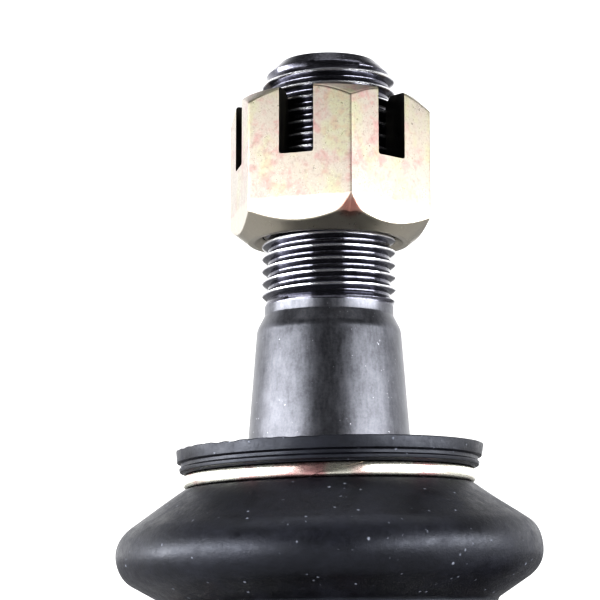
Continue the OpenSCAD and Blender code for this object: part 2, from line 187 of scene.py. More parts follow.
def makeBlackOxide():
    f = Finish("satinBlackOxide", Metallic=0.9, IOR=1.6)
    look = blackOxide
    cloud = f.noise(2.6, 4)
    grain = f.noise(0.3, 5, 0.7)
    runs = f.noise(0.5, 4, 0.6, f.stretched(1, 1, 0.25))
    lathe = f.noise(look["turningMarks"], 2, 0.5, f.stretched(0.02, 0.02, 1))
    speck = f.ramp(f.cells(look["speckSize"]), 0.19, 0.07) * f.ramp(f.noise(1.7, 1), 0.57, 0.66)
    tone = f.ramp(cloud * 0.35 + grain * 0.35 + runs * 0.3, 0.3, 0.7)
    base = f.mix(tone, look["dark"], look["light"])
    base = f.mix(speck * 0.7, base, look["speck"])
    rough = look["roughness"] + (grain - 0.5) * 0.2 + (runs - 0.5) * 0.12 - speck * 0.12
    height = grain * 0.5 + lathe * 0.35 + runs * 0.4 + speck * 0.8
    return f.finish(base, rough, height, 0.012, 0.55)


threadBlack = {"dark": (0.06, 0.06, 0.072), "light": (0.19, 0.19, 0.225), "crest": (0.86, 0.86, 0.9),
               "wornFrom": 0.16, "wornTo": 0.05, "studCrest": 8.0, "studRoughness": 0.19, "studRubbed": 0.9,
               "shankCrest": 11.0, "shankRoughness": 0.3, "shankRubbed": 0.55}


# dark flanks with crests rubbed bright; the crest is found by its distance from the thread's own axis
def makeThread(name, thread, axis):
    f = Finish(name, Metallic=0.92, IOR=1.6)
    look = threadBlack
    low, high = (look[thread + "Crest"] - look[key] for key in ("wornFrom", "wornTo"))
    x, y, z = f.axes()
    across, along = (y, z + shankDrop * mm) if axis == "X" else (x, y)
    radius = (across * across + along * along) ** 0.5
    grain = f.noise(0.25, 4, 0.65)
    patch = f.noise(1.6, 2)
    base = f.mix(f.ramp(patch * 0.25 + grain * 0.75, 0.3, 0.72), look["dark"], look["light"])
    bare = f.ramp(radius + (patch - 0.5) * 0.1 * mm, low * mm, high * mm)
    base = f.mix(bare * look[thread + "Rubbed"], base, look["crest"])
    rough = look[thread + "Roughness"] + (grain - 0.5) * 0.25 + (patch - 0.5) * 0.1
    return f.finish(base, rough, grain + patch * 0.4, 0.01, 0.4)


yellowZinc = {"cream": (0.43, 0.4, 0.345), "upper": (0.38, 0.345, 0.3), "pink": (0.38, 0.24, 0.23),
              "green": (0.36, 0.39, 0.22), "brown": (0.25, 0.18, 0.165), "grey": (0.27, 0.24, 0.22),
              "rust": (0.34, 0.15, 0.125), "roughness": 0.32, "upperFrom": 57.9, "upperFade": 0.4,
              "rustAt": (2.4, -12.2, 56.2), "rustSize": 2.2, "rustCore": 0.6}


def makeYellowZinc():
    f = Finish("mottledYellowZinc", Metallic=0.92, IOR=1.5)
    look = yellowZinc
    x, y, z = f.axes()
    drift = f.noise(5.5, 2, 0.5, distortion=0.6)
    blotch = f.noise(1.3, 4, 0.65, distortion=0.5)
    crystal = f.noise(0.3, 5, 0.7)
    upper = f.ramp(z + blotch * 0.0003, look["upperFrom"] * mm, (look["upperFrom"] + look["upperFade"]) * mm)
    pink = f.ramp(blotch * 0.6 + drift * 0.4, 0.47, 0.62) * upper
    green = f.ramp(f.noise(3.4, 3, 0.6, f.stretched(1, 1, 0.7)), 0.5, 0.66) * (upper * 0.8 + 0.2)
    base = f.mix(upper, look["cream"], look["upper"])
    base = f.mix(pink * 0.85, base, look["pink"])
    base = f.mix(green * 0.4, base, look["green"])
    speckle = f.ramp(f.noise(0.55, 4, 0.7, distortion=0.3), 0.5, 0.68)
    base = f.mix(speckle * (pink * 0.5 + 0.22) * upper, base, look["brown"])
    base = f.mix(f.ramp(crystal, 0.52, 0.66) * (0.1 + upper * 0.65), base, look["grey"])
    offset = [v * mm for v in look["rustAt"]]
    away = (x - offset[0]) ** 2 + (y - offset[1]) ** 2 + (z - offset[2]) ** 2
    rust = f.ramp(away ** 0.5 + (blotch - 0.5) * mm, look["rustSize"] * mm, look["rustCore"] * mm)
    base = f.mix(rust * 0.85, base, look["rust"])
    rough = look["roughness"] + (crystal - 0.5) * 0.3 + (blotch - 0.5) * 0.12
    height = crystal * 0.7 + blotch * 0.6
    return f.finish(base, rough, height, 0.012, 0.5)


# painted shade: a near-black finish for the nut's slot walls and bore, standing in for the shade that falls inside
# them
slotPaintedShade = {"dark": (0.006, 0.0055, 0.005), "light": (0.035, 0.033, 0.026), "roughness": 0.34}


def makePaintedSlotShade():
    f = Finish("paintedSlotShade", Metallic=0.0, IOR=1.45)
    shadeMottle = f.noise(1.4, 4, 0.6, f.stretched(1, 1, 0.4))
    # these near-black tones are painted shade, not a coating on the nut
    base = f.mix(f.ramp(shadeMottle, 0.4, 0.7), slotPaintedShade["dark"], slotPaintedShade["light"])
    rough = slotPaintedShade["roughness"] + (shadeMottle - 0.5) * 0.4
    return f.finish(base, rough, shadeMottle, 0.04, 0.6)


ringZinc = {"cream": (0.72, 0.71, 0.63), "pink": (0.56, 0.26, 0.28), "roughness": 0.28}


def makeRingZinc():
    f = Finish("brightRingZinc", Metallic=0.95, IOR=1.5)
    drift = f.noise(6.0, 2)
    drawn = f.noise(0.2, 3, 0.6, f.stretched(0.3, 0.3, 3))
    base = f.mix(f.ramp(drift, 0.47, 0.64) * 0.75, ringZinc["cream"], ringZinc["pink"])
    rough = ringZinc["roughness"] + (drawn - 0.5) * 0.16
    return f.finish(base, rough, drawn + drift * 0.3, 0.008, 0.4)


bootRubber = {"dark": (0.003, 0.003, 0.005), "bloom": (0.013, 0.0135, 0.02), "dust": (0.3, 0.32, 0.38),
              "roughness": 0.46, "sheen": (0.84, 0.88, 1)}


def makeBootRubber():
    look = bootRubber
    f = Finish("mattBootRubber", Metallic=0.0, IOR=1.62, Specular_Tint=look["sheen"])
    bloom = f.noise(6.0, 4, 0.6, distortion=0.5)
    skin = f.noise(0.42, 5, 0.7)
    streak = f.noise(0.9, 4, 0.65, f.stretched(0.6, 0.6, 1.2))
    dust = f.ramp(f.cells(1.2) + (skin - 0.5) * 0.2, 0.2, 0.06) * f.ramp(f.noise(1.6, 2), 0.53, 0.62)
    base = f.mix(f.ramp(bloom * 0.6 + streak * 0.4, 0.38, 0.68), look["dark"], look["bloom"])
    base = f.mix(dust * 0.8, base, look["dust"])
    clump = f.noise(2.2, 4, 0.7, distortion=0.4)
    rough = look["roughness"] + (skin - 0.5) * 0.3 + (bloom * 0.5 + clump * 0.5 - 0.5) * 0.7 + dust * 0.2
    height = skin * 0.8 + streak * 0.7 + clump * 1.2 + dust * 0.9
    return f.finish(base, rough, height, 0.04, 0.75)


forgedBlack = {"dark": (0.02, 0.02, 0.022), "light": (0.055, 0.055, 0.06), "worn": (0.22, 0.22, 0.23),
               "roughness": 0.5}


def makeForgedBlack():
    f = Finish("shotBlastedForging", Metallic=0.55, IOR=1.5)
    look = forgedBlack
    scale = f.noise(4.5, 5, 0.6)
    pits = f.cells(0.55)
    grit = f.noise(0.4, 5, 0.7)
    base = f.mix(f.ramp(scale * 0.45 + grit * 0.55, 0.35, 0.68), look["dark"], look["light"])
    worn = f.ramp(f.node("ShaderNodeNewGeometry", output="Pointiness"), 0.53, 0.6) * f.ramp(scale, 0.42, 0.6)
    base = f.mix(worn * 0.6, base, look["worn"])
    rough = look["roughness"] + (grit - 0.5) * 0.25 + (scale - 0.5) * 0.15 - worn * 0.12
    height = grit * 0.9 + f.ramp(pits, 0.05, 0.45) * 0.7 + scale * 0.9
    return f.finish(base, rough, height, 0.09, 0.9)


# a plain metal or plastic finish: colour drift, fine grain and a matching bump
def makeGrained(name, dark, light, metallic, roughness, grainSize, depth, stretch=(1, 1, 1)):
    f = Finish(name, Metallic=metallic, IOR=1.5)
    drift = f.noise(4.0, 3)
    grain = f.noise(grainSize, 4, 0.6, f.stretched(*stretch))
    base = f.mix(f.ramp(drift * 0.5 + grain * 0.5, 0.35, 0.68), dark, light)
    rough = roughness + (grain - 0.5) * 0.2 + (drift - 0.5) * 0.1
    return f.finish(base, rough, grain + drift * 0.4, depth, 0.5)


finishes = {
    "black_oxide": makeBlackOxide(),
    "thread": makeThread("studThreadSteel", "stud", "Z"),
    "shank_thread": makeThread("shankThreadSteel", "shank", "X"),
    # painted shade for the nut's slot walls and bore
    "grease": makePaintedSlotShade(),
    "yellow_zinc": makeYellowZinc(),
    "ring_zinc": makeRingZinc(),
    "boot_rubber": makeBootRubber(),
    "forged_steel": makeForgedBlack(),
    "bearing_polymer": makeGrained("mouldedAcetal", (0.55, 0.51, 0.41), (0.7, 0.67, 0.57), 0, 0.42, 0.5, 0.01),
    "plain_steel": makeGrained("oiledSteel", (0.28, 0.285, 0.3), (0.5, 0.505, 0.52), 1, 0.3, 0.2, 0.01,
                               stretch=(1, 1, 0.1)),
    "spring_steel": makeGrained("bluedSpring", (0.12, 0.13, 0.17), (0.27, 0.29, 0.34), 1, 0.28, 0.2, 0.01),
    "zinc_plate": makeGrained("pressedZincPlate", (0.52, 0.48, 0.34), (0.72, 0.68, 0.53), 0.95, 0.33, 0.3, 0.02),
    "seal_rubber": makeGrained("smoothSealRubber", (0.012, 0.012, 0.013), (0.03, 0.03, 0.033), 0, 0.4, 0.3, 0.01),
    "cap_plastic": makeGrained("softCapPlastic", (0.15, 0.016, 0.013), (0.24, 0.03, 0.024), 0, 0.38, 0.45, 0.012),
}
print("finishes made")


# mesh helpers; all their lengths are millimetres
def limited(share):
    return min(max(share, 0), 1)


def eased(share):
    share = limited(share)
    return share * share * (3 - 2 * share)


def steps(start, step, count):
    return [start + step * i for i in range(count)]


def arc(centre, radius, start, end, pieces):
    angles = [math.radians(start + (end - start) * i / pieces) for i in range(pieces + 1)]
    return [(centre[0] + radius * math.cos(a), centre[1] + radius * math.sin(a)) for a in angles]


# corners given as (r, z) or (r, z, fillet); each fillet becomes an arc of its own radius
def rounded(corners, closed=True, pieces=5):
    points = []
    count = len(corners)
    for i, corner in enumerate(corners):
        here = Vector(corner[:2])
        radius = corner[2] if len(corner) > 2 else 0
        isEnd = not closed and i in (0, count - 1)
        if radius == 0 or isEnd:
            points.append(tuple(here))
            continue
        before = Vector(corners[i - 1][:2]) - here
        after = Vector(corners[(i + 1) % count][:2]) - here
        a, b = before.normalized(), after.normalized()
        half = a.angle(b) / 2
        reach = min(radius / math.tan(half), before.length * 0.49, after.length * 0.49)
        radius = reach * math.tan(half)
        centre = here + (a + b).normalized() * (radius / math.sin(half))
        first, last = here + a * reach - centre, here + b * reach - centre
        for k in range(pieces + 1):
            points.append(tuple(centre + first.slerp(last, k / pieces).normalized() * radius))
    return points


def meshPiece(name, vertices, faces, material):
    data = bpy.data.meshes.new(name)
    data.from_pydata([Vector(v) * mm for v in vertices], [], faces)
    piece = bpy.data.objects.new(name, data)
    bpy.context.scene.collection.objects.link(piece)
    tidyMesh(piece)
    data.materials.append(material)
    return piece


# merges what meets, turns the faces outwards, and keeps edges sharper than the angle crisp
def tidyMesh(piece, angle=35, nearest=1e-7):
    work = bmesh.new()
    work.from_mesh(piece.data)
    bmesh.ops.remove_doubles(work, verts=work.verts, dist=nearest)
    bmesh.ops.dissolve_degenerate(work, edges=work.edges, dist=nearest)
    bmesh.ops.recalc_face_normals(work, faces=work.faces)
    for face in work.faces:
        face.smooth = True
    for edge in work.edges:
        if len(edge.link_faces) == 2:
            edge.smooth = edge.calc_face_angle(0) < math.radians(angle)
    work.to_mesh(piece.data)
    work.free()


# quads between rows of points; each row is a loop, and the last row joins the first if closed
def gridFaces(rows, columns, closed=True):
    faces = []
    for i in range(rows if closed else rows - 1):
        below, above = i * columns, (i + 1) % rows * columns
        for j in range(columns):
            k = (j + 1) % columns
            faces.append((below + j, below + k, above + k, above + j))
    return faces


# a straight bar between two equal outlines, given one after the other
def bar(name, vertices, material):
    count = len(vertices) // 2
    ends = [tuple(range(count)), tuple(range(count, 2 * count))]
    return meshPiece(name, vertices, gridFaces(2, count, closed=False) + ends, material)


# rings of vertices turned about Z; the outline is a closed loop, or runs from axis to axis, and a radius in it may
# be a function of the direction
def turnedRings(outline, segments, closed=True):
    vertices = []
    for r, z in outline:
        for j in range(segments):
            angle = tau * j / segments
            radius = r(angle) if callable(r) else r
            vertices.append((radius * math.cos(angle), radius * math.sin(angle), z))
    return vertices, gridFaces(len(outline), segments, closed)


def turned(name, corners, material, segments=192, closed=True):
    return meshPiece(name, *turnedRings(rounded(corners, closed), segments, closed), material)


# a right-hand thread as a sheet whose rows follow the helix, ending in flat rings at low and high
def threadRings(crest, root, pitch, low, high, envelope, segments, phase=0):
    crestHalf, rootHalf, worn = 0.07, 0.11, 0.02
    marks = [(-crestHalf, 0.05), (-crestHalf + worn, 0), (crestHalf - worn, 0), (crestHalf, 0.05),
             (0.5 - rootHalf, 0.97), (0.5, 1.0), (0.5 + rootHalf, 0.97)]  # share of the pitch, share of the depth
    perTurn = len(marks)
    turns = math.ceil((high - low) / pitch) + 2
    rows = turns * perTurn
    vertices = []
    for i in range(rows + 1):
        turn, mark = divmod(i, perTurn)
        share, depth = marks[mark]
        for j in range(segments):
            z = min(max(low + (turn - 2 + share + j / segments + phase) * pitch, low), high)
            r = envelope(z, crest - depth * (crest - root))
            angle = tau * j / segments
            vertices.append((r * math.cos(angle), r * math.sin(angle), z))
    faces = []
    for i in range(rows):
        for j in range(segments):
            a, d = i * segments + j, (i + 1) * segments + j
            if j < segments - 1:
                faces.append((a, a + 1, d + 1, d))
            elif i + perTurn < rows:  # the seam joins a row to the one a full turn further on
                faces.append((a, (i + perTurn) * segments, (i + perTurn + 1) * segments, d))
    return vertices, faces


def joined(*parts):
    vertices, faces = [], []
    for someVertices, someFaces in parts:
        start = len(vertices)
        vertices += someVertices
        faces += [tuple(start + i for i in face) for face in someFaces]
    return vertices, faces


def applyModifiers(piece):
    bpy.context.view_layer.update()
    data = bpy.data.meshes.new_from_object(piece.evaluated_get(bpy.context.evaluated_depsgraph_get()))
    piece.modifiers.clear()
    piece.data = data


def cut(piece, *cutters, operation="DIFFERENCE"):
    for cutter in cutters:
        modifier = piece.modifiers.new("cut", "BOOLEAN")
        modifier.operation = operation
        modifier.solver = "EXACT"
        modifier.material_mode = "TRANSFER"
        modifier.object = cutter
        applyModifiers(piece)
        bpy.data.objects.remove(cutter)
    tidyMesh(piece)


def place(piece, body, node):
    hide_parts(node)
    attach(piece, body)


# ball stud
stud = {"flatRadius": 5.0, "seat": 20.0, "taperFrom": 27.0, "taperTo": 43.7, "neck": 45.4, "threadFrom": 46.5,
        "threadFade": 1.1, "waistRadius": 7.5, "waistEase": 1.5, "seatRadius": 9.86, "smallRadius": 8.575,
        "neckRadius": 7.7, "crest": 8.0, "root": 7.28, "pitch": 1.5, "endRadius": 5.97, "endChamfer": 3.0,
        "pinHole": 4.0, "pinReach": 12.0, "pinHeight": 67.2, "pinTurn": 11.2, "phase": 0.4, "segments": 192}


def studEnvelope(z, r):
    high, neck = studHigh.z, stud["neckRadius"]
    if z > high - stud["endChamfer"]:
        r = min(r, stud["endRadius"] + high - z)
    return neck + (r - neck) * eased((z - stud["threadFrom"]) / stud["threadFade"])


def makeStud():
    s = stud
    segments = s["segments"]
    ballRadius, flatZ, topZ = studHigh.x, studLow.z, studHigh.z
    waistZ = math.sqrt(ballRadius ** 2 - s["waistRadius"] ** 2)
    start = math.degrees(math.atan2(flatZ, s["flatRadius"]))
    end = math.degrees(math.atan2(waistZ, s["waistRadius"]))
    ball = arc((0, 0), ballRadius, start, end, 48)
    cove = s["seatRadius"] - s["waistRadius"]
    lower = [(0, flatZ)] + ball + rounded([
        ball[-1], (s["waistRadius"], waistZ + s["waistEase"]), (s["waistRadius"], s["seat"] - cove),
        (s["waistRadius"], s["seat"], cove), (s["seatRadius"], s["seat"], 0.3),
        (s["seatRadius"], s["taperFrom"], 0.4), (s["smallRadius"], s["taperTo"], 2.2),
        (s["neckRadius"], s["neck"], 0.5), (s["neckRadius"], s["threadFrom"])], closed=False)[1:]
    body = turnedRings(lower, segments, False)
    thread = threadRings(s["crest"], s["root"], s["pitch"], s["threadFrom"], topZ, studEnvelope, segments,
                         s["phase"])
    top = turnedRings([(s["endRadius"], topZ), (s["endRadius"] * 0.5, topZ), (0, topZ)], segments, False)
    piece = meshPiece("ballStud", *joined(body, thread, top), finishes["black_oxide"])
    pin, reach = s["pinHole"] / 2, s["pinReach"]
    drill = turned("drill", [(0, -reach), (pin, -reach), (pin, reach), (0, reach)], finishes["thread"], 48,
                   closed=False)
    drill.rotation_euler = Euler((0, math.pi / 2, math.radians(s["pinTurn"])))
    drill.location = (0, 0, s["pinHeight"] * mm)
    cut(piece, drill)
    piece.data.materials.append(finishes["thread"])
    edge = (s["threadFrom"] - 0.3) * mm
    for face in piece.data.polygons:
        face.material_index = 1 if face.center.z > edge else 0
    place(piece, "stud", "ball_stud")
    print("stud made")


makeStud()


# slotted nut
nut = {"flats": 22.0, "bore": 8.05, "countersink": 0.9, "rimEase": 0.06, "slotWidth": 4.2, "slotDepth": 8.05,
       "slotEase": 0.3, "turn": 11.2, "slotShift": (0, 0.4, 0), "topAngle": 44, "footRadius": 9.6,
       "footFlare": 1.3, "waistHeight": 3.6, "draft": 4.5, "softness": 36.0, "knocked": -78.8, "knockRise": 1.1,
       "knockHeight": 2.5, "knockReach": 1.0, "knockWidth": 3.0, "knockLean": 0.42, "segments": 540}


# outer radius of the nut in one direction at one height: flats, both chamfers and one knocked corner
def nutRadius(angle, z):
    rise = z - nutLow.z
    half = nut["flats"] / 2
    draft = max(0, nut["waistHeight"] - rise) * math.tan(math.radians(nut["draft"]))
    away = abs(math.remainder(angle - math.radians(nut["knocked"]), tau)) * half
    knock = nut["knockRise"] + nut["knockHeight"] * math.exp(-away / nut["knockReach"])
    lean = nut["knockLean"] * max(0, knock - rise) * limited(nut["knockWidth"] - away)
    limits = []
    for k in range(6):
        facing = math.cos(angle - math.radians(nut["turn"] + 60 * k))
        if facing > 0.2:
            limits.append((half - draft) / facing - lean)
    limits.append(half + (nutHigh.z - z) / math.tan(math.radians(nut["topAngle"])))
    limits.append(nut["footRadius"] + nut["footFlare"] * max(rise, 0))
    soft, nearest = nut["softness"], min(limits)  # a rounded minimum, so that the edges are a little eased
    return nearest - math.log(sum(math.exp(-soft * (r - nearest)) for r in limits)) / soft


def makeNut():
    n = nut
    segments, low, high = n["segments"], nutLow.z, nutHigh.z
    bore, sink = n["bore"], n["countersink"]
    waist = low + n["waistHeight"]
    # rows lie close together where the chamfers turn
    heights = steps(low + 0.02, 0.1, 26) + steps(low + 2.7, 0.2, 5) + [waist - 0.03, waist + 0.03]
    heights += steps(waist + 0.3, 0.9, 12) + steps(high - 2.4, 0.1, 24) + [high - 0.02]
    angles = [math.radians(n["turn"]) + tau * j / segments for j in range(segments)]  # a corner on every 90th
    circle = [(math.cos(a), math.sin(a)) for a in angles]
    outer = [[(nutRadius(a, z), z) for a in angles] for z in heights]
    rimLow = [(r - n["rimEase"], low) for r, z in outer[0]]
    rimHigh = [(r - n["rimEase"], high) for r, z in outer[-1]]
    rows = [[(bore, low + sink)] * segments, [(bore + sink, low)] * segments, rimLow, *outer, rimHigh,
            [(bore + sink, high)] * segments, [(bore, high - sink)] * segments]
    rows += [[(bore, high - sink - (high - low - 2 * sink) * i / 12)] * segments for i in range(1, 12)]
    vertices = [(r * x, r * y, z) for row in rows for (x, y), (r, z) in zip(circle, row)]
    piece = meshPiece("castleNut", vertices, gridFaces(len(rows), segments), finishes["yellow_zinc"])
    # second material: painted shade for the slot walls and bore
    piece.data.materials.append(finishes["grease"])
    floor, half, ease = high - n["slotDepth"], n["slotWidth"] / 2, n["slotEase"]
    outline = rounded([(-half, floor, ease), (half, floor, ease), (half, high + 2), (-half, high + 2)])
    for k, shift in enumerate(n["slotShift"]):
        ends = [(x, y + shift, z) for x in (-15, 15) for y, z in outline]
        # the cutter's faces pass the painted shade onto the slot walls it cuts
        cutter = bar("slotCutter", ends, finishes["grease"])
        cutter.rotation_euler = Euler((0, 0, math.radians(n["turn"] + 60 * k)))
        cut(piece, cutter)
    for face in piece.data.polygons:  # the bore takes the painted shade too
        if math.hypot(face.center.x, face.center.y) < (bore + 0.05) * mm:
            face.material_index = 1
    place(piece, "nut", "castle_nut")
    print("nut made")


makeNut()


# rubber boot and its rings; lip and mouth list radius, height and fillet, the lip's heights from its top down
boot = {"roll": 1.4, "rollFrom": 8.0, "rollTo": 14.0, "wall": 2.0, "bulgeRadius": 4.0, "bulgeInset": 0.09,
        "bulgeHeight": 17.52, "ringGap": 0.05, "neckGap": 0.15, "footInset": 0.55, "footTop": 11.97,
        "footBore": 16.8, "footStep": 10.36, "seatRadius": 17.87, "insideFoot": (17.95, 12.9), "mouthRadius": 11.46,
        "wave": 0.05, "waveOrders": (1, 2, 4, 5), "flashHeight": 0.28, "flashFacing": 228, "flashOrders": (17, 29),
        "segments": 288, "bendFrom": 8.6, "bendTo": 24.6,
        "lip": [(18.05, 0, 0.12), (17.88, 1.4, 0.1), (17.46, 1.55, 0.08), (17.44, 1.95, 0.08),
                (17.66, 2.12, 0.1), (17.58, 2.5, 0.1), (17.15, 2.62, 0.1), (17.1, 2.78, 0.1)],
        "mouth": [(11.46, 27.06, 0.05), (9.92, 27.06, 0.1), (9.83, 28.4, 0.1), (11.4, 28.3, 0.5),
                  (13.4, 27.75, 0.8)]}


def rolled(x, z):  # the boot sits a little crooked on the stud
    share = eased((z - boot["rollFrom"]) / (boot["rollTo"] - boot["rollFrom"]))
    return x * math.tan(math.radians(boot["roll"])) * share


def touchAngle(point, centre, radius, side):  # where a straight flank from the point meets the bulge
    away = Vector(point) - Vector(centre)
    return math.degrees(math.atan2(away.y, away.x) + side * math.acos(radius / away.length))


def bootOutline():
    b, gap, lipZ = boot, boot["ringGap"], bootHigh.z
    ringZ, ringHalf = (ringLow.z + ringHigh.z) / 2, (ringHigh.z - ringLow.z) / 2
    footRingZ, footHalf = (footRingLow.z + footRingHigh.z) / 2, (footRingHigh.z - footRingLow.z) / 2
    grooveRadius = ringHigh.x - 2 * ringHalf - gap
    footRadius = footRingHigh.x - b["footInset"]
    footGroove = footRingHigh.x - 2 * footHalf - gap
    neckRadius, neckZ = ringHigh.x - gap, ringZ - ringHalf - b["neckGap"]
    bulge, radius = (bootHigh.x - b["bulgeRadius"] - b["bulgeInset"], b["bulgeHeight"]), b["bulgeRadius"]
    inner = radius - b["wall"]
    roof = (collarHigh.x + 0.1, collarLow.z + 0.95)
    outer = [(r, lipZ - drop, fillet) for r, drop, fillet in b["lip"]] + [
        (grooveRadius, ringZ + ringHalf + gap, 0.2), (grooveRadius, ringZ - ringHalf - gap, 0.2),
        (neckRadius - 0.35, ringZ - ringHalf - gap, 0.1), (neckRadius, neckZ - gap, 0.15)]
    upper = arc(bulge, radius, touchAngle((neckRadius, neckZ), bulge, radius, -1),
                touchAngle((footRadius, b["footTop"]), bulge, radius, 1), 26)
    flank = [tuple(Vector((neckRadius, neckZ - gap)).lerp(Vector(upper[0]), i / 6)) for i in range(1, 6)]
    foot = [
        (footRadius, b["footTop"], 0.6), (footRadius, footRingZ + footHalf + gap, 0.15),
        (footGroove, footRingZ + footHalf + gap, 0.2), (footGroove, footRingZ - footHalf - gap, 0.2),
        (footRadius, footRingZ - footHalf - gap, 0.15), (footRadius, bootLow.z, 0.3),
        (b["footBore"], bootLow.z, 0.05), (b["footBore"], b["footStep"], 0.05),
        (b["seatRadius"], b["footStep"], 0.1), b["insideFoot"]]
    inside = arc(bulge, inner, touchAngle(b["insideFoot"], bulge, inner, 1), touchAngle(roof, bulge, inner, -1), 12)
    mouth = [roof, (b["mouthRadius"], roof[1], 0.05), *b["mouth"], (16.9, lipZ - 0.1, 0.12)]
    return rounded(outer + flank + upper + foot + inside + mouth)


# faint waves in the skin, and moulding flash along one side of the lip's top edge
def makeBoot():
    segments, lipZ = boot["segments"], bootHigh.z
    first, second = boot["flashOrders"]
    vertices, faces = turnedRings(bootOutline(), segments)
    source = random.Random(4)
    phases = [source.uniform(0, tau) for _ in range(9)]
    flash = [0.5 + 0.5 * math.sin(first * a + phases[0]) * math.sin(second * a + phases[1])
             for a in (tau * j / segments for j in range(segments))]
    shaped = []
    for i, (x, y, z) in enumerate(vertices):
        angle, radius = math.atan2(y, x), math.hypot(x, y)
        soft = limited((z - 9) / 4) * limited((radius - 15) / 3) if radius >= 17 else 0  # only on the outside
        wave = sum(math.sin(k * angle + phases[k]) * math.sin(z * (0.5 + 0.17 * k) + phases[k + 3])
                   for k in boot["waveOrders"])
        grow = 1 + boot["wave"] * wave * soft / radius
        if z > lipZ - 0.2 and radius > 16.5:
            side = max(0, math.cos(angle - math.radians(boot["flashFacing"]))) ** 3
            z += boot["flashHeight"] * side * (flash[i % segments] - 0.55) * 0.9
        shaped.append((x * grow, y * grow, min(z, lipZ) + rolled(x * grow, z)))
    piece = meshPiece("dustBoot", shaped, faces, finishes["boot_rubber"])
    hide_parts("dust_boot")
    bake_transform(piece)
    print("boot made")


makeBoot()


clipRing = {"slant": 4.0, "slantFade": 8, "gapDegrees": 0.1, "wobble": 0.05, "wobbleFade": 40, "squareness": 4,
            "around": 240, "sides": 32}


# a split ring of squarish wire, its slanted ends nearly meeting
def makeRing(name, low, high, node, body, tilt, split):
    wire, middle = (high.z - low.z) / 2, (high.z + low.z) / 2
    radius = high.x - wire
    around, sides = clipRing["around"], clipRing["sides"]
    turn, gap = math.radians(split), math.radians(clipRing["gapDegrees"])
    power = 2 / clipRing["squareness"]
    section = [[math.copysign(abs(part) ** power, part) for part in (math.cos(a), math.sin(a))]
               for a in (tau * k / sides for k in range(sides))]
    vertices = []
    for i in range(around + 1):
        share = i / around
        end, side = abs(1 - 2 * share), 1 if share < 0.5 else -1
        for outward, up in section:
            lean = clipRing["slant"] * up * wire / radius * end ** clipRing["slantFade"]
            angle = turn + gap + (tau - 2 * gap) * share + lean
            r = radius + wire * outward - side * clipRing["wobble"] * end ** clipRing["wobbleFade"]
            z = middle + wire * up + tilt * r * math.cos(angle)
            vertices.append((r * math.cos(angle), r * math.sin(angle), z))
    faces = gridFaces(around + 1, sides, closed=False)
    faces += [tuple(range(sides)), tuple(around * sides + k for k in range(sides))]
    place(meshPiece(name, vertices, faces, finishes["ring_zinc"]), body, node)


bootTilt = math.tan(math.radians(boot["roll"]))
makeRing("upperClipRing", ringLow, ringHigh, "upper_clip_ring", "collar", tilt=bootTilt, split=-88.5)
makeRing("lowerClipRing", footRingLow, footRingHigh, "lower_clip_ring", "housing", tilt=0, split=-60)
print("rings made")


# forged socket and shank, with the machined neck, bore, flats and thread cut into it
housing = {"bodyRadius": 21.45, "footEase": 0.9, "footEaseHeight": 1.2, "shoulder": 2.9, "stockRadius": 19.6,
           "stockTop": 12.4, "neckFoot": 7.365, "neckRadius": 16.74, "flangeRadius": 17.74, "flangeFrom": 10.4,
           "boreRadius": 17.1, "boreFrom": 2.6, "plateRadius": 18.1, "plateFrom": -19, "rollFrom": -22,
           "rollRadius": 16.5, "mouthRadius": 13.34, "shankRoot": 13.1, "shankRadius": 12.45, "rootLength": 46,
           "shankEase": 0.8, "flatsFrom": 53, "flatsTo": 62, "acrossFlats": 22, "flatsRunOut": 1.6,
           "reliefRadius": 9.9, "threadFrom": 65, "threadFade": 1.4, "threadRadius": 11, "threadRoot": 10.12,
           "pitch": 1.5, "endChamfer": 1.6, "centreHole": 2.4, "voxel": 0.55, "blendPasses": 26, "flash": 0.16,
           "flashWidth": 0.9, "segments": 160, "shankStart": 2, "toolTop": 14, "toolRadius": 13.5,
           "seats": [(12.48, 7.315, 0.1), (13.38, 7.315), (14.6, 5.74)],
           "jointFrom": 9, "jointTo": 30, "jointTop": 9, "jointWall": 3.2, "jointShank": 17}


def shankEnvelope(x, r):
    h = housing
    r = min(r, h["threadRadius"] - h["endChamfer"] + housingHigh.x - x)
    start = h["threadRoot"] - 0.1
    return start + (r - start) * limited((x - h["threadFrom"]) / h["threadFade"])


def inJoint(x, y, z):  # where the shank runs into the socket's side
    h = housing
    fromWall = abs(math.hypot(x, y) - h["bodyRadius"] * mm)
    fromAxis = math.hypot(y, z + shankDrop * mm)
    return (h["jointFrom"] * mm < x < h["jointTo"] * mm and z < h["jointTop"] * mm and
            fromWall < h["jointWall"] * mm and fromAxis < h["jointShank"] * mm)


def smooth(work, verts, passes):
    for _ in range(passes):
        bmesh.ops.smooth_vert(work, verts=verts, factor=0.5, use_axis_x=True, use_axis_y=True, use_axis_z=True)


